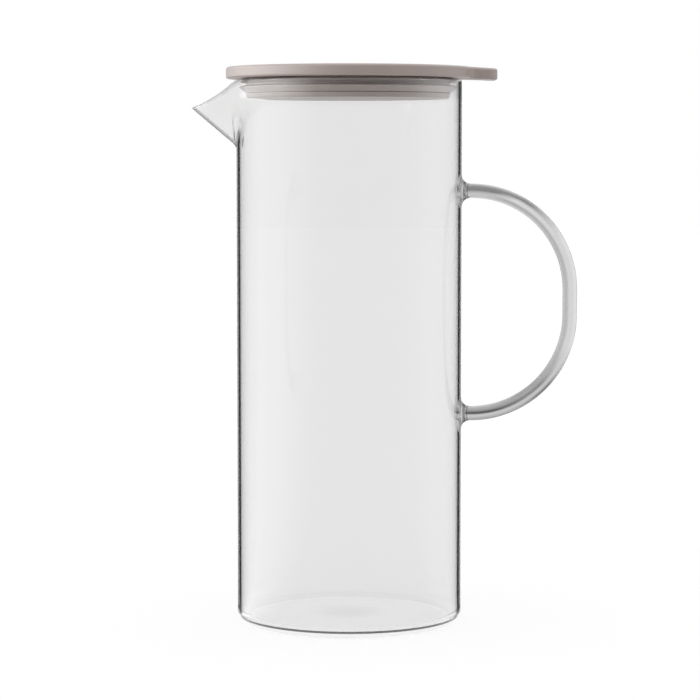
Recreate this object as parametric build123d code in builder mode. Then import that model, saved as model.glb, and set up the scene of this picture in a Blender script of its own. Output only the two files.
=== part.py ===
from build123d import *
import os
from math import asin, atan2, hypot, radians, sin, tan

# Glass jug with a stopper lid. Millimetres, +Z up. The origin is the centre of the flat underside,
# the spout points to -X, and the handle and the lid's tab point to +X.

# Vessel
body_radius = 52.5          # outside of the drawn glass cylinder
wall = 2.0
floor_thickness = 3.2       # glass under the drink, where the floor meets the wall
crown_height = 0.9          # extra glass in the middle of the floor
crown_radius = 21.0
heel_radius = 6.0           # outside rounding between the wall and the underside
jug_height = 253.7          # top of the rim
rim_rounding = 0.5

# Spout: a rounded beak that leans out as it rises
spout_depth = 30.9          # from the rim down to where the keel leaves the wall
tip_drop = 13.2             # from the rim down to the keel's end
spout_reach = 20.9          # the keel's end, out from the wall
spout_width = 60.0          # across the beak where it meets the wall at the rim
keel_radius = 6.0           # rounding of the beak in plan
root_radius = 7.0           # blend between the beak and the wall
pour_slope = 27.9           # fall of the rim towards the tip, in degrees
pour_radius = 12.0          # bend between the level rim and the fall

# Handle: a solid glass rod with two round bends, welded to the wall
rod_radius = 3.4
handle_radius = 46.2        # centre line of each bend
handle_upright = 11.8       # straight length between the bends
handle_height = 150.0       # middle of the handle
handle_run = 0.5            # level length between a weld's flare and a bend
weld_radius = 4.0           # flare of the glass at each weld

# Lid cover
cover_overhang = 4.7        # past the vessel's wall
cover_thickness = 5.3
cover_gap = 0.3             # between the rim and the cover
cover_top_rounding = 1.2
cover_edge_rounding = 0.8   # lower edge
tab_length = 11.3           # past the cover's edge
tab_width = 23.5
tab_root_radius = 6.0
tab_corner_radius = 5.0
register_height = 1.6       # ring under the cover that centres the plug
register_wall = 1.8
register_fit = 0.1

# Plug
plug_depth = 9.3            # from the cover's underside
plug_gap = 3.5              # between the glass and the lip that carries the seal
plug_taper = 0.6            # how much narrower the lip is at the bottom
plug_wall = 2.2
plug_floor = 2.0
plug_rounding = 0.8
lip_height = 2.4
groove_depth = 2.0          # seat of the seal, in from the lip's edge

# Seal
seal_fit = 0.1              # running clearance round the groove
seal_end_gap = 0.2          # above and below the seal
seal_band = 1.7             # thickness of the band behind the fins
waist_height = 0.5          # band between the two fins
fin_gap = 0.3               # between the fins and the glass
fin_edge = 0.5              # height of a fin at its tip
fin_spacing = 2.7           # between the two tips
upper_fin_drop = 1.3        # the upper tip, below the cover's underside

# Worked out from the sizes above
over_rim = 1.0              # forms run this far past the rim and are cut back to it
mouth_radius = body_radius - wall
spout_foot = jug_height - spout_depth
tip_radius = body_radius + spout_reach
keel_lean = spout_reach / (spout_depth - tip_drop)  # run out for each rise
cover_radius = body_radius + cover_overhang
cover_base = jug_height + cover_gap
tab_reach = cover_radius + tab_length
plug_radius = mouth_radius - plug_gap
plug_base = cover_base - plug_depth
lip_top = plug_base + lip_height
groove_radius = plug_radius - groove_depth
plug_bore = groove_radius - plug_wall


def beak_plan(inset):
    """The beak's plan at the foot of its keel: two straight flanks tangent to a rounded nose.
    The flanks open so that the outside meets the wall spout_width apart at the rim."""
    lean_to_rim = keel_lean * spout_depth
    nose_centre = body_radius - keel_radius
    join_y = spout_width / 2
    join_x = (body_radius**2 - join_y**2) ** 0.5
    run = nose_centre + lean_to_rim - join_x
    flank_angle = atan2(join_y, run) - asin(keel_radius / hypot(run, join_y))
    nose_radius = keel_radius - inset
    apex_x = nose_centre + nose_radius / sin(flank_angle)
    # The flanks end inside the vessel, where they come nearest to its axis at the form's top
    lean_to_top = keel_lean * (spout_depth + over_rim)
    back_x = (apex_x + lean_to_top) * sin(flank_angle) ** 2 - lean_to_top
    back_y = (apex_x - back_x) * tan(flank_angle)
    with BuildSketch(Plane.XY.offset(spout_foot)) as plan:
        with BuildLine():
            flanks = FilletPolyline(
                (-back_x, back_y), (-apex_x, 0), (-back_x, -back_y), radius=nose_radius
            )
            Line(flanks @ 1, flanks @ 0)
        make_face()
    return plan.sketch


def vessel_form(inset, base):
    """A cylinder with a rounded heel and the leaning beak, blended where they meet. With no
    inset this is the glass's outside, and with the wall as inset its hollow."""
    beak = beak_plan(inset)
    form_top = jug_height + over_rim
    with BuildPart() as form:
        with BuildSketch(Plane.XY.offset(base)):
            Circle(body_radius - inset)
        extrude(amount=form_top - base)
        fillet(form.edges().group_by(Axis.Z)[0], heel_radius - inset)
        extrude(beak, amount=(spout_depth + over_rim) * hypot(1, keel_lean), dir=(-keel_lean, 0, 1))
        roots = form.edges(Select.NEW).filter_by(lambda e: e.center().Z < form_top - 0.01)
        fillet(roots, root_radius + inset)
    return form.part


# Everything above the rim, which is level over the mouth and falls to the tip of the beak
with BuildPart() as rim_cut:
    pour_fall = tan(radians(pour_slope))
    fall_start = tip_radius - tip_drop / pour_fall
    far = body_radius + tip_radius
    with BuildSketch(Plane.XZ):
        with BuildLine():
            rim_line = FilletPolyline(
                (far, jug_height),
                (-fall_start, jug_height),
                (-far, jug_height - (far - fall_start) * pour_fall),
                radius=pour_radius,
            )
            Polyline(rim_line @ 1, (-far, jug_height + far), (far, jug_height + far), rim_line @ 0)
        make_face()
    extrude(amount=far, both=True)

outside = vessel_form(0, 0)
hollow = vessel_form(wall, floor_thickness)

with BuildPart() as jug_body:
    add(outside)
    add(hollow, mode=Mode.SUBTRACT)
    add(rim_cut.part, mode=Mode.SUBTRACT)
    fillet(jug_body.edges(Select.NEW), rim_rounding)
    # Shallow crown of extra glass in the middle of the floor
    with BuildSketch(Plane.XZ):
        with BuildLine():
            crown = ThreePointArc(
                (-crown_radius, floor_thickness),
                (0, floor_thickness + crown_height),
                (crown_radius, floor_thickness),
            )
            Line(crown @ 1, crown @ 0)
        make_face()
        split(bisect_by=Plane.YZ)
    revolve(axis=Axis.Z)

# The rod is welded to a cylinder of the vessel's size, which is then taken away, so the handle
# ends on the vessel's wall
with BuildPart() as handle:
    with BuildLine(Plane.XZ):
        bend_x = body_radius + weld_radius + handle_run
        half_upright = handle_upright / 2
        lower_bend = CenterArc((bend_x, handle_height - half_upright), handle_radius, -90, 90)
        upper_bend = CenterArc((bend_x, handle_height + half_upright), handle_radius, 0, 90)
        Line(lower_bend @ 1, upper_bend @ 0)
        lower_run = Line((mouth_radius, handle_height - half_upright - handle_radius), lower_bend @ 0)
        Line(upper_bend @ 1, (mouth_radius, handle_height + half_upright + handle_radius))
    with BuildSketch(Plane(lower_run @ 0, z_dir=lower_run % 0)):
        Circle(rod_radius)
    sweep()
    with BuildSketch(Plane((0, 0, handle_height), x_dir=(-1, 0, 0))) as vessel_circle:
        Circle(body_radius)
    extrude(amount=2 * handle_radius, both=True)
    fillet(handle.edges().filter_by(GeomType.BSPLINE), weld_radius)
    extrude(vessel_circle.sketch, amount=3 * handle_radius, both=True, mode=Mode.SUBTRACT)

with BuildPart() as lid_cover:
    with BuildSketch(Plane.XY.offset(cover_base)) as cover_plan:
        Circle(cover_radius)
        with Locations((tab_reach / 2, 0)):
            Rectangle(tab_reach, tab_width)
        fillet(cover_plan.vertices().group_by(Axis.X)[-1], tab_corner_radius)
        roots = cover_plan.vertices().filter_by(
            lambda v: v.X > 0 and abs(hypot(v.X, v.Y) - cover_radius) < 0.01
        )
        fillet(roots, tab_root_radius)
    extrude(amount=cover_thickness)
    fillet(lid_cover.edges().group_by(Axis.Z)[-1], cover_top_rounding)
    fillet(lid_cover.edges().group_by(Axis.Z)[0], cover_edge_rounding)
    # Ring that drops into the plug's bore
    with BuildSketch(Plane.XY.offset(cover_base)):
        Circle(plug_bore - register_fit)
        Circle(plug_bore - register_fit - register_wall, mode=Mode.SUBTRACT)
    extrude(amount=-register_height)

# Cup under the cover, with the seat of the seal round it
with BuildPart() as lid_plug:
    with BuildSketch(Plane.XZ):
        with BuildLine():
            Polyline(
                (0, plug_base),
                (plug_radius - plug_taper, plug_base),
                (plug_radius, lip_top),
                (groove_radius, lip_top),
                (groove_radius, cover_base),
                (plug_bore, cover_base),
                (plug_bore, plug_base + plug_floor),
                (0, plug_base + plug_floor),
                close=True,
            )
        make_face()
    revolve(axis=Axis.Z)
    fillet(lid_plug.edges().group_by(Axis.Z)[0], plug_rounding)

with BuildPart() as seal_ring:
    seal_bore = groove_radius + seal_fit
    seal_base = lip_top + seal_end_gap
    seal_top = cover_base - seal_end_gap
    waist_radius = seal_bore + seal_band
    fin_radius = mouth_radius - fin_gap
    upper_tip = cover_base - upper_fin_drop
    lower_tip = upper_tip - fin_spacing
    waist = (upper_tip + lower_tip) / 2
    with BuildSketch(Plane.XZ):
        with BuildLine():
            Polyline(
                (seal_bore, seal_base),
                (plug_radius, seal_base),
                (fin_radius, lower_tip - fin_edge / 2),
                (fin_radius, lower_tip + fin_edge / 2),
                (waist_radius, waist - waist_height / 2),
                (waist_radius, waist + waist_height / 2),
                (fin_radius, upper_tip - fin_edge / 2),
                (fin_radius, upper_tip + fin_edge / 2),
                (waist_radius, seal_top),
                (seal_bore, seal_top),
                close=True,
            )
        make_face()
    revolve(axis=Axis.Z)

jug_body.part.label = "jug_body"
handle.part.label = "handle"
lid_cover.part.label = "lid_cover"
lid_plug.part.label = "lid_plug"
seal_ring.part.label = "seal_ring"

os.makedirs("parts", exist_ok=True)
export_step(jug_body.part, "parts/jug_body.step")
export_step(handle.part, "parts/handle.step")
export_step(lid_cover.part, "parts/lid_cover.step")
export_step(lid_plug.part, "parts/lid_plug.step")
export_step(seal_ring.part, "parts/seal_ring.step")
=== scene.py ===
# %% [markdown]
# # A glass jug with a stopper lid
#
# The jug is a drawn glass cylinder with a beak pulled out of its rim, a bent glass rod for a handle, and a
# flat matte lid whose plug carries a soft ring with two fins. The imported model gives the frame: where each
# piece is and how it moves. This lesson gives each piece a smooth surface worked out with numpy, and a
# finish. Clear glass shows every facet of a coarse mesh, so its surfaces are made fine and from formulas.

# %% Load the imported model
import math

import bpy
import numpy as np
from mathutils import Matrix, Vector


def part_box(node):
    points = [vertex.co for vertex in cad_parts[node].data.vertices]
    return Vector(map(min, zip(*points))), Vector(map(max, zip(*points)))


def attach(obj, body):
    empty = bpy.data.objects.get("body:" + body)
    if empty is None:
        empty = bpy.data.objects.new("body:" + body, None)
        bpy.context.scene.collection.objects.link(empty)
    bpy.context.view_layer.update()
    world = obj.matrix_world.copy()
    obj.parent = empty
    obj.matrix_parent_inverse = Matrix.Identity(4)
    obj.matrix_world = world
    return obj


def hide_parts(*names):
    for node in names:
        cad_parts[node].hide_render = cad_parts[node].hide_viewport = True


MM = 0.001
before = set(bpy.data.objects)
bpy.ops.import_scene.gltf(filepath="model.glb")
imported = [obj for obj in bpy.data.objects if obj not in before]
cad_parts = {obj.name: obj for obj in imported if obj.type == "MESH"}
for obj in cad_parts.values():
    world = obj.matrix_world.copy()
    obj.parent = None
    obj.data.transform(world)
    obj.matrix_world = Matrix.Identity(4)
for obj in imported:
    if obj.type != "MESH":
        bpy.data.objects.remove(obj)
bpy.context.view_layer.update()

# %% [markdown]
# ## The camera
#
# The jug is seen from a good way off, level with the foot of its spout, so its sides stay nearly parallel
# and its round floor is a flat ellipse. A long lens from a little under 1.2 m gives that. The lens looks
# slightly down and is not shifted.

# %% Camera
CAMERA_AWAY = 1.17
CAMERA_HEIGHT = 0.2205
CAMERA_SIDE = 0.0004
CAMERA_DOWN = math.radians(4.54)
LENS = 128.8

camera = bpy.data.objects.new("camera", bpy.data.cameras.new("camera"))
bpy.context.scene.collection.objects.link(camera)
camera.location = (CAMERA_SIDE, -CAMERA_AWAY, CAMERA_HEIGHT)
camera.rotation_euler = (math.pi / 2 - CAMERA_DOWN, 0, 0)
camera.data.lens = LENS
camera.data.sensor_width = 36
camera.data.clip_end = 50
bpy.context.scene.camera = camera
bpy.context.scene.view_settings.view_transform = "Standard"
print("the camera is", CAMERA_AWAY, "m away and looks down", round(math.degrees(CAMERA_DOWN), 2), "degrees")

# %% [markdown]
# ## Helpers for nodes
#
# Every finish is a small net of nodes. A few short helpers keep the nets readable. One adds a node and joins
# what is given as its inputs, one makes an empty material, one lays a scale of greys over a value, and the
# others mix, calculate and rescale.


# %% Node helpers
def add_node(tree, kind, inputs=None, **settings):
    """Adds a node of this kind. inputs maps the name or number of an input to a value or to an output that
    feeds it. Everything else is a setting of the node itself."""
    node = tree.nodes.new(kind)
    for name, value in settings.items():
        setattr(node, name, value)
    for name, value in (inputs or {}).items():
        if isinstance(name, str):
            socket = next(s for s in node.inputs if s.name == name and s.enabled)
        else:
            socket = node.inputs[name]
        if isinstance(value, bpy.types.NodeSocket):
            tree.links.new(value, socket)
        else:
            socket.default_value = value
    return node


def result(node):
    """The first output of a node that is in use."""
    return next(s for s in node.outputs if s.enabled)


def new_material(name):
    """An empty node material, its tree and the input of its surface."""
    material = bpy.data.materials.new(name)
    material.use_nodes = True
    tree = material.node_tree
    tree.nodes.clear()
    return material, tree, add_node(tree, "ShaderNodeOutputMaterial").inputs["Surface"]


def grey(value):
    """A colour with this value in red, green and blue."""
    return (value, value, value, 1)


def scale_of(tree, source, stops):
    """A Color Ramp over source. Each stop is a place from 0 to 1 and a grey."""
    node = add_node(tree, "ShaderNodeValToRGB", {"Fac": source})
    elements = node.color_ramp.elements
    elements.remove(elements[1])
    for i, (place, value) in enumerate(stops):
        element = elements[0] if i == 0 else elements.new(place)
        element.position = place
        element.color = grey(value)
    return node.outputs["Color"]


def blend(tree, share, first, second):
    """Mixes two colours: first where share is 0, second where it is 1."""
    node = add_node(tree, "ShaderNodeMix", {"Factor": share, "A": first, "B": second}, data_type="RGBA")
    return result(node)


def combine(tree, operation, first, second):
    """One Math node over two values."""
    return result(add_node(tree, "ShaderNodeMath", {0: first, 1: second}, operation=operation))


def share_of(tree, value, low, high):
    """0 where value is at low, 1 where it is at high, and an even scale between them."""
    return result(add_node(tree, "ShaderNodeMapRange", {"Value": value, "From Min": low, "From Max": high}))


# %% [markdown]
# ## Room and light
#
# The jug stands on a pale floor in a bright white studio. Glass has no colour of its own: it shows what is
# behind it and, faintly, what is in front and beside it. So the world has three faces. Rays that come from
# the camera or through the glass meet plain white. Rays that the smooth glass mirrors meet a room with dark
# wings beside the backdrop, which draw the edges of the glass. All other rays meet the lights: a large soft
# light on the left, a white ceiling, a weak light on the right and a dim room in front.

# %% World
CEILING = 1.2
CEILING_STARTS, CEILING_FULL = 0.30, 0.50  # in how far up a direction points, from 0 to 1
MIRRORED = [
    (0.00, 0.15), (0.09, 0.35), (0.14, 1.0), (0.20, 1.8), (0.28, 1.9), (0.31, 1.35), (0.335, 0.95),
    (0.37, 0.40), (0.40, 0.25), (0.41, 0.04), (0.465, 0.04), (0.475, 1.0), (0.525, 1.0), (0.535, 0.04),
    (0.60, 0.04), (0.62, 0.3), (0.645, 0.5), (0.69, 0.9), (0.76, 0.95), (0.82, 0.5), (0.88, 0.25),
    (1.00, 0.15),
]
LIGHTING = [
    (0.00, 0.08), (0.06, 0.40), (0.13, 1.9), (0.20, 3.3), (0.28, 3.3), (0.33, 2.4), (0.38, 1.1), (0.44, 0.6),
    (0.54, 0.6), (0.62, 0.5), (0.70, 0.7), (0.80, 0.6), (0.90, 0.15), (1.00, 0.08),
]


def turn_share(tree, x, y):
    """Where a direction lies round the room: 0 and 1 in front, 0.25 left, 0.5 at the back, 0.75 right."""
    return share_of(tree, combine(tree, "ARCTAN2", x, y), -math.pi, math.pi)


world = bpy.data.worlds.new("studio")
bpy.context.scene.world = world
world.use_nodes = True
tree = world.node_tree
tree.nodes.clear()
output = add_node(tree, "ShaderNodeOutputWorld").inputs["Surface"]
direction = add_node(tree, "ShaderNodeTexCoord").outputs["Generated"]
split = add_node(tree, "ShaderNodeSeparateXYZ", {0: direction})
around = turn_share(tree, split.outputs["X"], split.outputs["Y"])
path = add_node(tree, "ShaderNodeLightPath").outputs
lighting, mirrored = scale_of(tree, around, LIGHTING), scale_of(tree, around, MIRRORED)
studio = blend(tree, path["Is Singular Ray"], lighting, mirrored)
upward = share_of(tree, split.outputs["Z"], CEILING_STARTS, CEILING_FULL)
studio = blend(tree, upward, studio, grey(CEILING))
seen_white = combine(tree, "MAXIMUM", path["Is Camera Ray"], path["Is Transmission Ray"])
background = add_node(tree, "ShaderNodeBackground", {"Color": blend(tree, seen_white, studio, grey(1))})
tree.links.new(result(background), output)
print("the room has", len(LIGHTING), "steps of light and", len(MIRRORED), "in what smooth glass mirrors")

# %% [markdown]
# ## The floor
#
# The floor is pale and fades into the white behind it. To the eye, and through glass, it is part matte and
# part glow, and the two add up to white where nothing shades it. The matte part still takes the soft shadow
# of the jug. For light that bounces on to the object it is a plain matte floor. Where smooth glass mirrors
# it, the floor repeats the room that stands on it, so the dark wings beside the backdrop reach the jug's
# foot. Their direction is measured from the side of the jug, because it is close by. The floor lies a hair
# above the jug's flat underside, so light that runs about in the thick bottom ends on pale floor.

# %% Floor
FLOOR_SIZE = 12.0
FLOOR_RISE = 0.02 * MM
FLOOR_MATTE = 0.5
SHOWN_MATTE = 0.4
SHOWN_GLOW = 0.545
JUG_SIDE = 50 * MM
JUG_FOOT = 56 * MM

half = FLOOR_SIZE / 2
corners = [(x, y, FLOOR_RISE) for x, y in ((-half, -half), (half, -half), (half, half), (-half, half))]
floor_mesh = bpy.data.meshes.new("floor")
floor_mesh.from_pydata(corners, [], [(0, 1, 2, 3)])
floor = bpy.data.objects.new("floor", floor_mesh)
bpy.context.scene.collection.objects.link(floor)
material, tree, output = new_material("pale_floor")
plain = add_node(tree, "ShaderNodeBsdfDiffuse", {"Color": grey(FLOOR_MATTE)})
shown = add_node(tree, "ShaderNodeBsdfDiffuse", {"Color": grey(SHOWN_MATTE)})
glow = add_node(tree, "ShaderNodeEmission", {"Strength": SHOWN_GLOW})
both = add_node(tree, "ShaderNodeAddShader", {0: result(shown), 1: result(glow)})
print("the floor is", FLOOR_SIZE, "m wide and lies", round(FLOOR_RISE / MM, 3), "mm up")

# %% What smooth glass mirrors in the floor
where = add_node(tree, "ShaderNodeTexCoord").outputs["Object"]
split = add_node(tree, "ShaderNodeSeparateXYZ", {0: where})
across, away = split.outputs["X"], split.outputs["Y"]
past_side = combine(tree, "SUBTRACT", combine(tree, "ABSOLUTE", across, 0.0), JUG_SIDE)
from_side = combine(
    tree, "MULTIPLY", combine(tree, "MAXIMUM", past_side, 0.0), combine(tree, "SIGN", across, 0.0))
room = add_node(tree, "ShaderNodeEmission", {
    "Color": scale_of(tree, turn_share(tree, from_side, away), MIRRORED)})
path = add_node(tree, "ShaderNodeLightPath").outputs
# A ray that went through smooth glass counts as glossy and singular too
is_mirrored = combine(tree, "SUBTRACT", path["Is Singular Ray"], path["Is Transmission Ray"])
distance = add_node(tree, "ShaderNodeVectorMath", {0: where}, operation="LENGTH").outputs["Value"]
is_mirrored = combine(tree, "MULTIPLY", is_mirrored, combine(tree, "GREATER_THAN", distance, JUG_FOOT))
dull_gloss = combine(tree, "SUBTRACT", path["Is Glossy Ray"], path["Is Singular Ray"])
is_lit = combine(tree, "MAXIMUM", path["Is Diffuse Ray"], dull_gloss)
for_eye = add_node(tree, "ShaderNodeMixShader", {0: is_mirrored, 1: result(both), 2: result(room)})
choose = add_node(tree, "ShaderNodeMixShader", {0: is_lit, 1: result(for_eye), 2: result(plain)})
tree.links.new(result(choose), output)
floor_mesh.materials.append(material)

# %% [markdown]
# ## Surfaces from grids
#
# Every shape here is a grid of points, rows by columns. The columns go round the axis or round the rod and
# close on themselves. The first and last rows may shrink to a single point. One helper turns such a grid
# into a closed mesh, one rounds the bends of a profile, and one turns a profile about the jug's axis.


# %% Grid helpers
def skin(name, rows, first_pole=None, last_pole=None, loop=False):
    """A mesh over rows of points, an array of rows by columns by 3. Columns close on themselves. Each quad
    joins a row to the next. A pole closes an end with a fan, and loop joins the last row to the first. The
    count of undefined points, such as the root of a negative number, has to be 0."""
    count, around = rows.shape[:2]
    points = rows.reshape(-1, 3)
    here = np.arange(count * around).reshape(count, around)
    ahead = np.roll(here, -1, axis=1)
    quads = [np.stack([here[:-1], ahead[:-1], ahead[1:], here[1:]], -1).reshape(-1, 4)]
    if loop:
        quads.append(np.stack([here[-1], ahead[-1], ahead[0], here[0]], -1))
    faces = np.concatenate(quads).tolist()
    if first_pole is not None:
        faces += np.stack([np.full(around, len(points)), ahead[0], here[0]], -1).tolist()
        points = np.vstack([points, first_pole])
    if last_pole is not None:
        faces += np.stack([np.full(around, len(points)), here[-1], ahead[-1]], -1).tolist()
        points = np.vstack([points, last_pole])
    mesh = bpy.data.meshes.new(name)
    mesh.from_pydata(points, [], faces)
    mesh.shade_smooth()
    piece = bpy.data.objects.new(name, mesh)
    bpy.context.scene.collection.objects.link(piece)
    undefined = int((~np.isfinite(points)).any(axis=1).sum())
    print(name, "has", len(points), "points,", undefined, "of them undefined, and", len(faces), "faces")
    return piece


def rounded(corners, radii, steps=6):
    """A profile through corners whose bends are arcs. An arc touches both sides at its radius times the
    tangent of half the turn. A point on each side, close to the arc, keeps the flats flat."""
    corners = np.array(corners, float)
    out = [corners[0]]
    for before, corner, after, radius in zip(corners[:-2], corners[1:-1], corners[2:], radii):
        back, on = before - corner, after - corner
        back, on = back / np.linalg.norm(back), on / np.linalg.norm(on)
        half_turn = (math.pi - math.acos(np.clip(back @ on, -1, 1))) / 2
        reach = radius * math.tan(half_turn)
        middle = corner + (back + on) / np.linalg.norm(back + on) * radius / math.cos(half_turn)
        start, end = corner + back * reach, corner + on * reach
        share = np.linspace(0, 1, steps + 1)[:, None]
        arc = (np.sin((1 - share) * 2 * half_turn) * (start - middle)
               + np.sin(share * 2 * half_turn) * (end - middle)) / math.sin(2 * half_turn) + middle
        out += [start + back * radius * 0.1, *arc, end + on * radius * 0.1]
    out.append(corners[-1])
    return np.array(out)


def turned(profile, angles):
    """Rows of points made by turning a profile of (radius, height) about the Z axis."""
    radius, height = profile[:, 0, None], profile[:, 1, None]
    return np.stack([radius * np.cos(angles), radius * np.sin(angles), height + 0 * angles], -1)


def smooth_step(value, low, high):
    """0 below low, 1 above high and 3 t squared minus 2 t cubed between them."""
    t = np.clip((value - low) / (high - low), 0, 1)
    return t * t * (3 - 2 * t)


def set_mask(piece, name, function):
    """Stores a number on each point of a piece, worked out from the point's x, y and z."""
    points = np.empty(len(piece.data.vertices) * 3)
    piece.data.vertices.foreach_get("co", points)
    values = function(*points.reshape(-1, 3).T)
    piece.data.attributes.new(name, "FLOAT", "POINT").data.foreach_set("value", values.astype(np.float32))
    print(piece.name, name, "from", round(float(values.min()), 3), "to", round(float(values.max()), 3))


# %% [markdown]
# ## The vessel
#
# On the real jug a glass tube is drawn to size, its bottom is closed, and its rim is heated so that a beak
# can be pulled out. Seen from above at any height, the wall is a circle joined to a wedge with a rounded
# nose, and the wedge moves outwards as it rises. Both are one distance from the axis for each direction, so
# the wall is a function of angle and height: the larger of the two distances, with a soft step between.

# %% Sizes of the vessel
jug_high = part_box("jug_body")[1]
RADIUS = jug_high.y
JUG_HEIGHT = jug_high.z
WALL = 2.0 * MM
FLOOR = 3.2 * MM
CROWN_HEIGHT = 0.9 * MM
CROWN_RADIUS = 21 * MM
HEEL = 6 * MM
SPOUT_FOOT = JUG_HEIGHT - 30.9 * MM
SPOUT_LEAN = 1.18
SPOUT_HALF_WIDTH = 30 * MM
NOSE = 6 * MM
KEEL_BLEND = 2.0 * MM
FLANK_BLEND = 9.0 * MM
POUR_START = 47.5 * MM
POUR_BEND = 9.9 * MM
POUR_SLOPE = math.radians(38)
POUR_EASE = 12.1
RIM_BEAD = 0.7 * MM
print("the vessel is", RADIUS, "in radius and", JUG_HEIGHT, "tall, and its spout starts", SPOUT_FOOT, "up")


# %% The wall as a function of angle and height
def flank_angle():
    """Half the angle of the wedge, so that its flanks meet the wall SPOUT_HALF_WIDTH out at the rim."""
    join = math.sqrt(RADIUS**2 - SPOUT_HALF_WIDTH**2)
    run = RADIUS - NOSE + SPOUT_LEAN * (JUG_HEIGHT - SPOUT_FOOT) - join
    return math.atan2(SPOUT_HALF_WIDTH, run) - math.asin(NOSE / math.hypot(run, SPOUT_HALF_WIDTH))


FLANK = flank_angle()


def wedge_radius(aside, height, inset):
    """Distance of the beak's wedge from the axis. aside is the angle from the spout's direction. A ray at
    that angle meets a flank at apex * sin(flank) / sin(flank + angle), or the round nose before it."""
    nose_middle = RADIUS - NOSE + SPOUT_LEAN * (height - SPOUT_FOOT)
    nose = NOSE - inset
    angle = np.abs(aside)
    apex = nose_middle + nose / math.sin(FLANK)
    flank = np.maximum(apex, 0) * math.sin(FLANK) / np.sin(np.minimum(FLANK + angle, math.pi / 2))
    touch = np.arctan2(nose * math.cos(FLANK), nose_middle + nose * math.sin(FLANK))
    under_root = np.maximum(nose**2 - (nose_middle * np.sin(angle)) ** 2, 0)
    tip = nose_middle * np.cos(angle) + np.sqrt(under_root)
    return np.where(angle < math.pi / 2, np.where(angle < touch, tip, flank), 0)


def wall_radius(aside, height, inset):
    """Distance of the wall from the axis: the larger of circle and wedge. Where they differ by less than
    the reach of the blend, a parabola of the difference is added, which makes the step between them soft.
    The blend is short under the keel and long beside the flanks."""
    wedge = wedge_radius(aside, height, inset)
    circle = RADIUS - inset
    blend = KEEL_BLEND + (FLANK_BLEND - KEEL_BLEND) * smooth_step(np.abs(aside), 0.05, 0.45)
    near = np.maximum(1 - np.abs(wedge - circle) / blend, 0)
    return np.maximum(wedge, circle) + near**2 * blend / 4


def rim_height(x):
    """Height of the rim: level over the mouth, an arc down, and then a slope that eases towards the tip by
    POUR_EASE times the square of the distance."""
    past = np.clip(-x - POUR_START, 0, None)
    bend_run = POUR_BEND * math.sin(POUR_SLOPE)
    arc = POUR_BEND - np.sqrt(POUR_BEND**2 - np.minimum(past, bend_run) ** 2)
    beyond = np.maximum(past - bend_run, 0)
    return JUG_HEIGHT - arc - beyond * math.tan(POUR_SLOPE) + POUR_EASE * beyond**2


def rim_of(aside, inset):
    """Height at which the wall meets the rim, halved in on forty times for all columns at once."""
    low = np.full_like(aside, SPOUT_FOOT)
    high = np.full_like(aside, JUG_HEIGHT + 1 * MM)
    for _ in range(40):
        middle = (low + high) / 2
        x = -wall_radius(aside, middle, inset) * np.cos(aside)
        above = middle > rim_height(x)
        high = np.where(above, middle, high)
        low = np.where(above, low, middle)
    return low


print("the beak's flanks open by", round(math.degrees(FLANK), 1), "degrees to each side")

# %% [markdown]
# Refraction makes the beak's nose and root the hardest places, so the columns are dense there, and the wall
# gets rows only where it bends. The straight cylinder needs very few.

# %% Columns and rows of the vessel
SPOUT_COLUMNS = 300
ROUND_COLUMNS = 240
SPOUT_SPAN = math.radians(48)
OVER_HEEL = 1 * MM
UNDER_SPOUT = 12 * MM
spout_part = np.linspace(-SPOUT_SPAN, SPOUT_SPAN, SPOUT_COLUMNS, endpoint=False)
round_part = np.linspace(SPOUT_SPAN, 2 * math.pi - SPOUT_SPAN, ROUND_COLUMNS, endpoint=False)
columns = np.concatenate([spout_part, round_part])
aside = (columns + math.pi) % (2 * math.pi) - math.pi
around = columns + math.pi


def place(radius, height):
    """Points at these distances from the axis and heights, one column for each direction."""
    radius, height = np.broadcast_arrays(radius, height + 0 * around)
    return np.stack([radius * np.cos(around), radius * np.sin(around), height], -1)


def side(inset, heel, base, heel_steps=12, wall_steps=5, spout_steps=48):
    """One side of the glass, from the edge of its flat bottom to just under the rim. The heel is a quarter
    circle, a few level rows run from OVER_HEEL to UNDER_SPOUT, and the rows in the spout follow the rim."""
    turn = np.linspace(0, math.pi / 2, heel_steps + 1)
    level = np.linspace(base + heel + OVER_HEEL, SPOUT_FOOT - UNDER_SPOUT, wall_steps)
    radii = np.concatenate([RADIUS - inset - heel * (1 - np.sin(turn)), np.full(wall_steps, RADIUS - inset)])
    heights = np.concatenate([base + heel * (1 - np.cos(turn)), level])
    share = np.linspace(0, 1, spout_steps + 1)[1:, None]
    upper = level[-1] + share * (rim_of(aside, inset) - RIM_BEAD - level[-1])
    return np.concatenate([
        place(radii[:, None], heights[:, None]), place(wall_radius(aside, upper, inset), upper)])


outer = side(0, HEEL, 0)
inner = side(WALL, HEEL - WALL, FLOOR)
print("each side of the glass has", len(outer), "rows of", len(columns), "points")

# %% Rim bead and floor
# The rim was melted round: half an ellipse from the outer side's end over the top to the inner side's end
BEAD_STEPS = 14
half_wall = (outer[-1] - inner[-1]) / 2
between = (outer[-1] + inner[-1]) / 2
climb = (outer[-1] - outer[-2]) + (inner[-1] - inner[-2])
climb = climb / np.linalg.norm(climb, axis=1, keepdims=True) * RIM_BEAD
half_turn = np.linspace(0, math.pi, BEAD_STEPS)[1:-1, None, None]
bead = between + np.cos(half_turn) * half_wall + np.sin(half_turn) * climb

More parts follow.
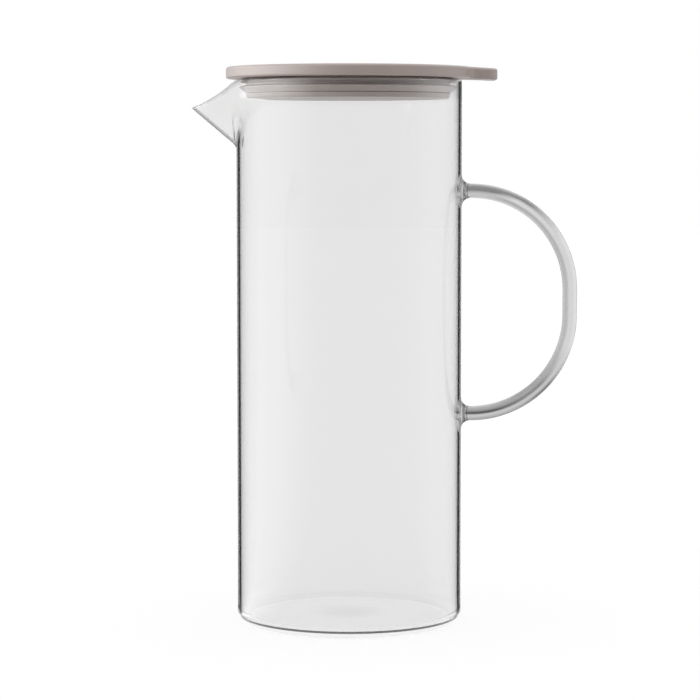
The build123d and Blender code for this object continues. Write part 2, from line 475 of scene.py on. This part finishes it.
# The floor under the drink swells to a shallow dome, a part of a sphere. A few rows cross the flat round it
sphere = (CROWN_RADIUS**2 + CROWN_HEIGHT**2) / (2 * CROWN_HEIGHT)
floor_radii = np.concatenate([np.linspace(44, 24, 4) * MM, np.linspace(CROWN_RADIUS, 3 * MM, 14)])[:, None]
dome = np.sqrt(sphere**2 - np.minimum(floor_radii, CROWN_RADIUS) ** 2) - (sphere - CROWN_HEIGHT)
drink_floor = place(floor_radii, FLOOR + np.maximum(dome, 0))
underside = place(np.array([12, 28, 42])[:, None] * MM, np.zeros((3, 1)))

vessel_rows = np.concatenate([underside, outer, bead, inner[::-1], drink_floor])
vessel = skin("vessel", vessel_rows, (0, 0, 0), (0, 0, FLOOR + CROWN_HEIGHT))

# Faces past the middle of the bead are the inside, which gets a finish of its own
face = np.arange(len(vessel.data.polygons))
row_of_face = face // len(columns)
outside_rows = len(underside) + len(outer) + len(bead) // 2
first_fan = row_of_face == len(vessel_rows) - 1
is_inside = (row_of_face >= outside_rows) & ~first_fan
vessel.data.polygons.foreach_set("material_index", is_inside.astype(np.int32))
print("the vessel has", 2 * len(vessel_rows) * len(columns), "triangles,", is_inside.sum(), "faces inside")


# %% Masks of the vessel
def beak_mask(x, y, z):
    """0 on the round wall and 1 on the beak, from how far the wedge stands out of the circle."""
    proud = wedge_radius(np.arctan2(y, -x), z, 0) - RADIUS
    return smooth_step(proud, -1.5 * MM, 1.5 * MM)


def nose_mask(x, y, z):
    """1 along the keel of the beak, where the wedge is round, and 0 on its flat flanks."""
    touch = RADIUS - NOSE + SPOUT_LEAN * (z - SPOUT_FOOT) + NOSE * math.sin(FLANK)
    return beak_mask(x, y, z) * smooth_step(-x, touch - 2 * MM, touch + 1 * MM)


def rim_mask(x, y, z):
    """1 on the melted bead of the rim."""
    return smooth_step(z, rim_height(x) - 2 * RIM_BEAD, rim_height(x) - RIM_BEAD)


def crown_mask(x, y, z):
    """1 in the middle of the floor's dome and 0 at its edge."""
    return 1 - smooth_step(np.hypot(x, y), 6 * MM, CROWN_RADIUS)


for name, function in (
    ("beak", beak_mask), ("nose", nose_mask), ("rim", rim_mask), ("crown", crown_mask)):
    set_mask(vessel, name, function)

# %% [markdown]
# ## The handle
#
# The handle is a solid rod with two round bends, fused to the wall at both ends. Where it is fused, the hot
# glass flares. It is a circle carried along a path of a level run, a bend and an upright half, and the same
# mirrored, and its radius grows near the wall.

# %% Handle
rod_low, rod_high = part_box("handle")
ROD = 3.4 * MM
BEND = 46.2 * MM
UPRIGHT = 11.8 * MM
WELD = 4.0 * MM
WELD_GAP = 0.02 * MM
BEND_X = RADIUS + WELD + 0.5 * MM
HANDLE_MIDDLE = (rod_low.z + rod_high.z) / 2
WELD_RISE = UPRIGHT / 2 + BEND


def rod_path(run_steps=14, bend_steps=64, crowding=1.6):
    """x, z and outward angle of the path, from the lower weld to the upper. The lower half is a level run at
    WELD_RISE under the middle, a quarter circle and half of the upright. Steps of the run crowd towards the
    wall, as a share to the power of crowding."""
    off = (BEND_X - RADIUS - WELD_GAP) * np.linspace(0, 1, run_steps) ** crowding
    bend = np.linspace(-math.pi / 2, 0, bend_steps)[1:]
    x = np.concatenate([RADIUS + WELD_GAP + off, BEND_X + BEND * np.cos(bend), [BEND_X + BEND] * 2])
    z = np.concatenate([
        np.full(run_steps, -WELD_RISE), -UPRIGHT / 2 + BEND * np.sin(bend), [-UPRIGHT / 4, 0]])
    turn = np.concatenate([np.full(run_steps, -math.pi / 2), bend, [0, 0]])
    half = np.stack([x, z, turn])
    upper = half[:, -2::-1] * np.array([[1], [-1], [-1]])
    return np.hstack([half, upper])[:, :, None]


def rod_rows(around_steps=64):
    """Rings along the path. A ring's radius is the rod's, plus the flare that a fillet of radius WELD leaves
    at its distance from the wall. The end rings follow the round of the wall. The clip at WELD keeps the
    root real on the end rings, where rounding can put the distance just under zero."""
    x, z, turn = rod_path()
    off = x - RADIUS - WELD_GAP
    radius = ROD + WELD - np.sqrt(WELD**2 - np.clip(WELD - off, 0, WELD) ** 2)
    ring = np.linspace(0, 2 * math.pi, around_steps, endpoint=False)
    outward, y = radius * np.cos(ring), radius * np.sin(ring)
    sag = (np.sqrt(RADIUS**2 - y**2) - RADIUS) * np.clip(1 - off / WELD, 0, 1)
    return np.stack([x + sag + outward * np.cos(turn), y, HANDLE_MIDDLE + z + outward * np.sin(turn)], -1)


def outer_side(x, y, z):
    """-1 on the inner side of the rod's bend, 1 on its outer side."""
    past = np.maximum(np.abs(z - HANDLE_MIDDLE) - UPRIGHT / 2, 0)
    return np.clip((np.hypot(np.maximum(x - BEND_X, 0), past) - BEND) / ROD, -1, 1)


def rise(x, y, z):
    """-1 on the lower run, 0 on the upright and 1 on the upper run."""
    up = z - HANDLE_MIDDLE
    return np.clip(np.sign(up) * np.maximum(np.abs(up) - UPRIGHT / 2, 0) / BEND, -1, 1)


rings = rod_rows()
ends = [(RADIUS + WELD_GAP, 0, ring[:, 2].mean()) for ring in (rings[0], rings[-1])]
handle = skin("rod_handle", rings, *ends)
set_mask(handle, "outer_side", outer_side)
set_mask(handle, "rise", rise)
print("the handle reaches", rings[..., 0].max(), "out, from", rings[..., 2].min(), "to", rings[..., 2].max())

# %% [markdown]
# ## The lid
#
# The cover is a flat disc with a tab, moulded in matte plastic with soft edges. Its outline is a chain of
# arcs with their outward directions, and a small rounded profile is carried round it.

# %% Lid sizes
cover_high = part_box("lid_cover")[1]
plug_low, plug_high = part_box("lid_plug")
seal_low, seal_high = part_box("seal_ring")
COVER = cover_high.y
COVER_TOP = cover_high.z
COVER_BASE = plug_high.z
TAB_REACH = cover_high.x
TAB_HALF = 11.75 * MM
TAB_ROOT = 6.0 * MM
TAB_CORNER = 5.0 * MM
TAB_FALL = 0.7 * MM
OUTLINE_STEP = 0.45 * MM
TOP_EDGE = 1.2 * MM
LOW_EDGE = 0.8 * MM
REGISTER = 42.7 * MM
REGISTER_WALL = 1.8 * MM
REGISTER_DEPTH = 1.6 * MM
UNDER_FROM, UNDER_TO = 46 * MM, 20 * MM  # the rows of the flat underside, outside and inside the register
print("the cover is", COVER, "in radius, and its tab reaches", TAB_REACH)


# %% Lid cover
def cover_outline():
    """Points and outward directions round the cover. The tab's root arcs touch the cover's circle and the
    tab's sides, so their centres lie at the tab's side plus their radius, on a larger circle."""
    root_y = TAB_HALF + TAB_ROOT
    root_x = math.sqrt((COVER + TAB_ROOT) ** 2 - root_y**2)
    root_turn = math.atan2(root_y, root_x)
    corner_x, corner_y = TAB_REACH - TAB_CORNER, TAB_HALF - TAB_CORNER
    arcs = [  # centre, radius, first and last angle. A negative radius is a hollow arc
        ((0, 0), COVER, root_turn, 2 * math.pi - root_turn),
        ((root_x, -root_y), -TAB_ROOT, math.pi - root_turn, math.pi / 2),
        ((corner_x, -corner_y), TAB_CORNER, -math.pi / 2, 0),
        ((corner_x, corner_y), TAB_CORNER, 0, math.pi / 2),
        ((root_x, root_y), -TAB_ROOT, -math.pi / 2, root_turn - math.pi),
    ]
    pieces = []
    for centre, radius, start, end in arcs:
        steps = max(8, int(abs(radius * (end - start)) / OUTLINE_STEP))
        angle = np.linspace(start, end, steps, endpoint=False)  # the next arc starts where this one ends
        ring = np.stack([np.cos(angle), np.sin(angle)], -1)
        pieces.append(np.hstack([np.array(centre) + abs(radius) * ring, math.copysign(1, radius) * ring]))
    chain = np.vstack(pieces)
    return chain[:, :2], chain[:, 2:]


def carried(profile, outline, normals):
    """A profile of (distance in from the outline, height), carried round the outline."""
    flat = outline - profile[:, 0, None, None] * normals
    height = np.broadcast_to(profile[:, 1, None, None], flat.shape[:2] + (1,))
    return np.concatenate([flat, height], -1)


outline, normals = cover_outline()
unit = outline / np.linalg.norm(outline, axis=1, keepdims=True)
# The profile starts less far in than the tab's corners are round, so that it doesn't fold over there
INSET = 0.7 * TAB_CORNER
edge_profile = rounded(
    [(INSET, COVER_TOP), (0, COVER_TOP), (0, COVER_BASE), (INSET, COVER_BASE)], (TOP_EDGE, LOW_EDGE), 8)
rim_part = carried(edge_profile, outline, normals)
top_shares = np.array([0.1, 0.4, 0.7])[:, None]
top_part = np.stack([
    carried(np.array([[0, COVER_TOP]]), share * rim_part[0, :, :2], unit)[0] for share in top_shares])
register_end, register_in = COVER_BASE - REGISTER_DEPTH, REGISTER - REGISTER_WALL
register_profile = rounded(
    [(UNDER_FROM, COVER_BASE), (REGISTER, COVER_BASE), (REGISTER, register_end), (register_in, register_end),
     (register_in, COVER_BASE), (UNDER_TO, COVER_BASE)],
    (0.2 * MM, 0.3 * MM, 0.3 * MM, 0.2 * MM), 3)
register_part = carried(register_profile * (-1, 1), 0 * outline, unit)
cover_rows = np.concatenate([top_part, rim_part, register_part])[::-1].copy()
# The tab droops a little towards its end
cover_rows[..., 2] -= TAB_FALL * smooth_step(cover_rows[..., 0], COVER - 4 * MM, TAB_REACH)
cover = skin("cover", cover_rows, (0, 0, COVER_BASE), (0, 0, COVER_TOP))

# %% [markdown]
# ## Plug and seal
#
# Under the cover sits a shallow cup, and a soft ring with two fins lies in the seat round it. Both are round,
# so each is a profile turned about the axis. The cup's flats start FLAT_FROM out, and a fan of triangles
# closes each of them.

# %% Plug
ROUND_STEPS = 360
FLAT_FROM = 20 * MM
angles = np.linspace(0, 2 * math.pi, ROUND_STEPS, endpoint=False)
PLUG = plug_high.y
PLUG_BASE = plug_low.z
LIP_TOP = PLUG_BASE + 2.4 * MM
GROOVE = PLUG - 2 * MM
BORE = GROOVE - 2.2 * MM
CUP_FLOOR = PLUG_BASE + 2 * MM
plug_profile = rounded(
    [(FLAT_FROM, PLUG_BASE), (PLUG - 0.6 * MM, PLUG_BASE), (PLUG, LIP_TOP), (GROOVE, LIP_TOP),
     (GROOVE, COVER_BASE), (BORE, COVER_BASE), (BORE, CUP_FLOOR), (FLAT_FROM, CUP_FLOOR)],
    (0.8 * MM, 0.3 * MM, 0.2 * MM, 0.2 * MM, 0.2 * MM, 0.6 * MM), 5)
plug = skin("plug", turned(plug_profile, angles), (0, 0, PLUG_BASE), (0, 0, CUP_FLOOR))

# %% Seal
SEAL_IN = GROOVE + 0.1 * MM
FIN = seal_high.y
BAND = SEAL_IN + 1.7 * MM
UPPER_TIP = COVER_BASE - 1.3 * MM
LOWER_TIP = UPPER_TIP - 2.7 * MM
WAIST = (UPPER_TIP + LOWER_TIP) / 2
HALF_EDGE = 0.25 * MM
seal_corners = [
    (SEAL_IN, WAIST), (SEAL_IN, seal_low.z), (PLUG, seal_low.z), (FIN, LOWER_TIP - HALF_EDGE),
    (FIN, LOWER_TIP + HALF_EDGE), (BAND, WAIST - HALF_EDGE), (BAND, WAIST + HALF_EDGE),
    (FIN, UPPER_TIP - HALF_EDGE), (FIN, UPPER_TIP + HALF_EDGE), (BAND, seal_high.z), (SEAL_IN, seal_high.z),
    (SEAL_IN, WAIST)]
seal_radii = np.array([0.15, 0.2, 0.2, 0.2, 0.2, 0.2, 0.2, 0.2, 0.2, 0.15]) * MM
seal_profile = rounded(seal_corners, seal_radii, 4)[:-1]
seal = skin("seal", turned(seal_profile, angles), loop=True)

# %% [markdown]
# ## Glass
#
# Clear glass passes nearly all light where it is met squarely. At the edges of the jug the eye looks along
# the wall, the light that would come through has bent away to the dark sides of the room, and a dark line
# appears. Here that line is painted shade: Layer Weight gives how squarely a ray meets the surface, and a
# scale of greys over it darkens the glass's colour there. The glass lets light through to what it shades,
# so the lid's shadow stays soft.

# %% A clear glass
CLEAR = 0.89
FROM_GLASS = grey(CLEAR)


def glass(name, colour_and_painted_shade_of, fused_of, passed=0.96, polish_of=None, glow_of=None, ior=1.47):
    """A smooth clear glass. colour_and_painted_shade_of builds its colour from the tree and the Facing value. Where fused_of is
    1, two pieces are melted together and the surface between them is not seen. passed is the share of light
    that goes straight through. Where polish_of is 1, the surface mirrors more of the room, and where glow_of
    is 1, it scatters the light that falls on it."""
    material, tree, output = new_material(name)
    facing = add_node(tree, "ShaderNodeLayerWeight", {"Blend": 0.5}).outputs["Facing"]
    # The base colour holds the glass's clear tint and the painted shade that the colour function draws in it
    clear = add_node(tree, "ShaderNodeBsdfPrincipled", {
        "Base Color": colour_and_painted_shade_of(tree, facing), "Roughness": 0.0, "IOR": ior, "Transmission Weight": 1.0})
    if polish_of:
        clear.inputs["Coat IOR"].default_value = 1.9
        clear.inputs["Coat Roughness"].default_value = 0.0
        tree.links.new(polish_of(tree), clear.inputs["Coat Weight"])
    pass_on = add_node(tree, "ShaderNodeBsdfTransparent", {"Color": grey(passed)})
    path = add_node(tree, "ShaderNodeLightPath").outputs
    # Shadows, matte surfaces and the dull gloss of the lid look straight through the glass
    dull_gloss = combine(tree, "SUBTRACT", path["Is Glossy Ray"], path["Is Singular Ray"])
    for_light = combine(tree, "MAXIMUM", path["Is Shadow Ray"], path["Is Diffuse Ray"])
    for_light = combine(tree, "MAXIMUM", for_light, dull_gloss)
    share = combine(tree, "MAXIMUM", for_light, fused_of(tree))
    surface = add_node(tree, "ShaderNodeMixShader", {0: share, 1: result(clear), 2: result(pass_on)})
    if glow_of:
        scattered = add_node(tree, "ShaderNodeBsdfTranslucent", {"Color": grey(0.9)})
        surface = add_node(tree, "ShaderNodeMixShader", {
            0: glow_of(tree), 1: result(surface), 2: result(scattered)})
    tree.links.new(result(surface), output)
    return material


def attribute(tree, name):
    """The number that set_mask stored on the piece."""
    return add_node(tree, "ShaderNodeAttribute", attribute_name=name).outputs["Fac"]


def outward_side(tree, value):
    """value where a ray meets the surface from outside, and 0 where it leaves through it."""
    leaving = add_node(tree, "ShaderNodeNewGeometry").outputs["Backfacing"]
    return combine(tree, "MAXIMUM", combine(tree, "SUBTRACT", value, leaving), 0.0)


print("clear glass passes", CLEAR, "of the light at each surface")

# %% [markdown]
# Where two pieces of glass are melted together, no surface is left to see between them. So the wall is lost
# round each weld, the rod's ends are lost where they lie on the wall, and the melted rim is partly lost in
# the light. Light that enters the rod's end from inside the jug would run round its bends and be given up
# after many bounces, so the middle of each end scatters light instead.

# %% Where glass is melted together
FLARE_FOOT = ROD + WELD


def to_weld(tree, squeeze=1.0):
    """Distance from the middle of the nearer of the handle's two welds. A squeeze under 1 shortens distances
    across the jug, which makes the region round a weld wide."""
    where = add_node(tree, "ShaderNodeTexCoord").outputs["Object"]
    flat = add_node(tree, "ShaderNodeVectorMath", {0: where, 1: (1, squeeze, 1)}, operation="MULTIPLY")
    welds = [(RADIUS, 0, HANDLE_MIDDLE - WELD_RISE), (RADIUS, 0, HANDLE_MIDDLE + WELD_RISE)]
    near, far = [
        add_node(tree, "ShaderNodeVectorMath", {0: result(flat), 1: weld}, operation="DISTANCE")
        for weld in welds]
    return combine(tree, "MINIMUM", near.outputs["Value"], far.outputs["Value"])


def soft_rim(tree):
    """How far the melted bead of the rim is lost."""
    return combine(tree, "MULTIPLY", attribute(tree, "rim"), 0.6)


def soft_outside(tree):
    """How far the outer surface is lost: fully within a flare's foot and partly on the rim."""
    at_weld = share_of(tree, to_weld(tree), 10 * MM, FLARE_FOOT)
    return combine(tree, "MAXIMUM", at_weld, soft_rim(tree))


def off_wall(tree):
    """Distance outwards from the round wall."""
    where = add_node(tree, "ShaderNodeTexCoord").outputs["Object"]
    flat = add_node(tree, "ShaderNodeVectorMath", {0: where, 1: (1, 1, 0)}, operation="MULTIPLY")
    length = add_node(tree, "ShaderNodeVectorMath", {0: result(flat)}, operation="LENGTH").outputs["Value"]
    return combine(tree, "SUBTRACT", length, RADIUS)


def on_end(tree):
    """1 on the rod's two ends, which lie on the wall, and 0 beyond them."""
    return combine(tree, "LESS_THAN", off_wall(tree), 2 * WELD_GAP)


def flare(tree):
    """How far the rod's flare is lost in the wall: fully on its ends and partly beyond them."""
    soft = combine(tree, "MULTIPLY", share_of(tree, off_wall(tree), 2.5 * MM, 0.4 * MM), 0.7)
    return combine(tree, "MAXIMUM", on_end(tree), soft)


def rod_glow(tree):
    """1 in the middle of the rod's ends, seen through the wall, where light that ran along the rod leaves."""
    middle = share_of(tree, to_weld(tree), 4.6 * MM, 3.0 * MM)
    return outward_side(tree, combine(tree, "MULTIPLY", on_end(tree), middle))


print("the wall is lost within", round(FLARE_FOOT / MM, 2), "mm of the middle of a weld")

# %% [markdown]
# The vessel has two finishes. The outside has painted shade in its colour: the dark line near the edge, a
# thin dark ring round the foot and a grey turn along the beak's keel. A band round the mouth was polished by
# flame together with the rim, so it mirrors more of the room. The inside is plain but for a little painted
# shade in the middle of the floor.

# %% Vessel glass
# The ring round the foot is painted shade: a thin near-black band in the glass's colour
PAINTED_RING_HEIGHT = 3.45 * MM
PAINTED_RING_HALF = 0.7 * MM
PAINTED_RING_SHADE = grey(0.02)
HEEL_TOP, HEEL_FULL = 4.2 * MM, 3.4 * MM
BARE = grey(0.86)
POLISH_LOW, POLISH_FULL = JUG_HEIGHT - 10.5 * MM, JUG_HEIGHT - 8 * MM


def height_on(tree):
    """Height of a point of the piece over the jug's underside."""
    where = add_node(tree, "ShaderNodeTexCoord").outputs["Object"]
    return add_node(tree, "ShaderNodeSeparateXYZ", {0: where}).outputs["Z"]


def outside_tint_and_painted_shade(tree, facing):
    """Painted shade in the glass's colour: a thin dark line near the edge of the round wall that runs on
    round the heel, a soft grey turn along the keel of the beak, and a thin dark ring round the foot. The line
    is not seen again where light leaves through the far side. The heel, the rim and the wall beside a weld
    are bare of it."""
    # Painted shade: the dark line where the wall is seen nearly edge-on
    wall = scale_of(tree, facing, [
        (0.0, CLEAR), (0.60, CLEAR), (0.69, 0.7), (0.735, 0.35), (0.76, 0.002), (0.825, 0.002), (0.855, 0.5),
        (0.89, 0.9)])
    # Painted shade: the grey turn along the keel of the beak
    keel = scale_of(tree, facing, [(0.0, CLEAR), (0.30, CLEAR), (0.38, 0.4), (0.5, 0.25), (1.0, 0.25)])
    beak = blend(tree, attribute(tree, "nose"), FROM_GLASS, keel)
    height = height_on(tree)
    heel = share_of(tree, height, HEEL_TOP, HEEL_FULL)
    weld = share_of(tree, to_weld(tree, 0.4), 9.5 * MM, 6 * MM)
    bare_share = combine(tree, "MAXIMUM", combine(tree, "MAXIMUM", heel, attribute(tree, "rim")), weld)
    tint = blend(tree, bare_share, blend(tree, attribute(tree, "beak"), wall, beak), BARE)
    # Painted shade: the thin dark ring round the foot, only where a ray comes in from outside
    off_ring = combine(tree, "ABSOLUTE", combine(tree, "SUBTRACT", height, PAINTED_RING_HEIGHT), 0.0)
    ring = share_of(tree, off_ring, PAINTED_RING_HALF, 0.7 * PAINTED_RING_HALF)
    return blend(tree, outward_side(tree, ring), tint, PAINTED_RING_SHADE)


def inside_tint_and_painted_shade(tree, facing):
    """The inside of the wall is plain clear glass, and the middle of the floor, where the dome makes it
    thickest, is painted a little greyer as painted shade.
    """
    # Painted shade: the middle of the floor's dome is made greyer
    return scale_of(tree, attribute(tree, "crown"), [(0.0, CLEAR), (1.0, 0.72)])


def mouth_polish(tree):
    """1 on the band round the mouth that was polished by flame, and 0 on the beak."""
    band = share_of(tree, height_on(tree), POLISH_LOW, POLISH_FULL)
    return outward_side(tree, combine(tree, "SUBTRACT", band, attribute(tree, "beak")))


vessel.data.materials.append(glass("glass_outside", outside_tint_and_painted_shade, soft_outside, polish_of=mouth_polish))
vessel.data.materials.append(glass("glass_inside", inside_tint_and_painted_shade, soft_rim))
print(vessel.name, "has the finishes", [material.name for material in vessel.data.materials])

# %% [markdown]
# A thick rod bends light far more than a wall does, and shows the room upside down and squeezed into bands
# that change along its bends. These bands are painted into the rod's colour as painted reflection and shade.
# At the top weld the outer half is painted dark, for the dim ground it shows, and the band thins out down the
# bend. The upright is painted darker towards the jug. The foot is painted with the ceiling over the ground,
# with a dark line between.

# %% Rod glass
def rod_painted_reflection(tree, facing):
    """Painted reflection and shade: five scales of greys from the inner side of the bend to its outer side,
    each for a part of the rod from the foot to the top. Only light that goes into the rod is tinted."""
    across = share_of(tree, attribute(tree, "outer_side"), -1.0, 1.0)
    along = attribute(tree, "rise")
    foot = [(0.0, 0.45), (0.15, 0.18), (0.35, 0.04), (0.44, 0.003), (0.50, 0.02), (0.58, 0.3), (0.66, 0.43),
            (0.80, 0.22), (1.0, 0.12)]
    low_bend = [(0.0, 0.15), (0.2, 0.15), (0.45, 0.05), (0.63, 0.38), (0.7, 0.32), (0.82, 0.06), (0.9, 0.025),
                (1.0, 0.08)]
    upright = [(0.0, 0.4), (0.1, 0.27), (0.25, 0.22), (0.38, 0.42), (0.45, 0.52), (0.57, 0.47), (0.75, 0.55),
               (1.0, 0.6)]
    high_bend = [(0.0, 0.5), (0.14, 0.28), (0.27, 0.18), (0.44, 0.56), (0.57, 0.5), (0.68, 0.14),
                 (0.75, 0.045), (0.86, 0.06), (1.0, 0.2)]
    top = [(0.0, 0.37), (0.09, 0.26), (0.24, 0.44), (0.5, 0.13), (0.57, 0.045), (0.78, 0.05), (0.92, 0.2),
           (1.0, 0.5)]
    # These scales are painted reflection and shade of the room, not the rod's own colour
    tint = scale_of(tree, across, foot)
    for low, high, stops in (
        (-0.97, -0.82, low_bend), (-0.7, -0.3, upright), (0.5, 0.86, high_bend), (0.9, 0.98, top)):
        tint = blend(tree, share_of(tree, along, low, high), tint, scale_of(tree, across, stops))
    near_wall = share_of(tree, off_wall(tree), 2.0 * MM, 0.4 * MM)
    leaving = add_node(tree, "ShaderNodeNewGeometry").outputs["Backfacing"]
    return blend(tree, combine(tree, "MAXIMUM", near_wall, leaving), tint, FROM_GLASS)


handle.data.materials.append(glass("glass_rod", rod_painted_reflection, flare, passed=0.8, glow_of=rod_glow))
print(handle.name, "has the finish", handle.data.materials[0].name)

# %% [markdown]
# ## Plastic and silicone
#
# The lid is moulded in a warm grey plastic whose mould was lightly blasted, so it has a fine grain and a
# broad, dull gloss. The seal is silicone of the same colour, softer and a little shinier, without the grain.


# %% Plastic and silicone
def moulded(name, colour, roughness, grain, depth):
    """A matte material. Fine noise of the given grain size lifts the surface by up to depth, and slower
    noise varies the colour by a few percent."""
    material, tree, output = new_material(name)
    where = add_node(tree, "ShaderNodeTexCoord").outputs["Object"]
    fine = add_node(tree, "ShaderNodeTexNoise", {"Vector": where, "Scale": 1 / grain, "Detail": 3.0})
    slow = add_node(tree, "ShaderNodeTexNoise", {"Vector": where, "Scale": 60.0, "Detail": 4.0})
    darker = tuple(0.94 * c for c in colour) + (1,)
    lighter = tuple(1.04 * c for c in colour) + (1,)
    tone = blend(tree, slow.outputs["Fac"], darker, lighter)
    bump = add_node(tree, "ShaderNodeBump", {"Height": fine.outputs["Fac"], "Distance": depth})
    shader = add_node(tree, "ShaderNodeBsdfPrincipled", {
        "Base Color": tone, "Roughness": roughness, "Specular IOR Level": 1.0, "Coat Weight": 1.0,
        "Coat Roughness": roughness, "Coat IOR": 1.6, "Normal": result(bump), "Coat Normal": result(bump)})
    tree.links.new(result(shader), output)
    return material


TAUPE = (0.32, 0.253, 0.227)
cover.data.materials.append(moulded("lid_plastic", TAUPE, 0.38, 0.35 * MM, 0.03 * MM))
plug.data.materials.append(moulded("plug_plastic", TAUPE, 0.38, 0.35 * MM, 0.03 * MM))
seal.data.materials.append(moulded("silicone", TAUPE, 0.34, 0.8 * MM, 0.01 * MM))
print("the lid's finishes are", [piece.data.materials[0].name for piece in (cover, plug, seal)])

# %% [markdown]
# ## What moves with what
#
# Each piece rides on the body that carries it in the imported model, so it follows when the lid is lifted or
# turned. It also stands for one node of that model, which is hidden.

# %% Bodies and nodes
for piece, body, node, slot in [
    (vessel, "jug", "jug_body", "glass"),
    (handle, "jug", "handle", "handle_glass"),
    (cover, "lid", "lid_cover", "lid"),
    (plug, "lid", "lid_plug", "plug"),
    (seal, "seal", "seal_ring", "seal"),
]:
    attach(piece, body)
    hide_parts(node)
    print(piece.name, "rides on", body, "and stands for", node)
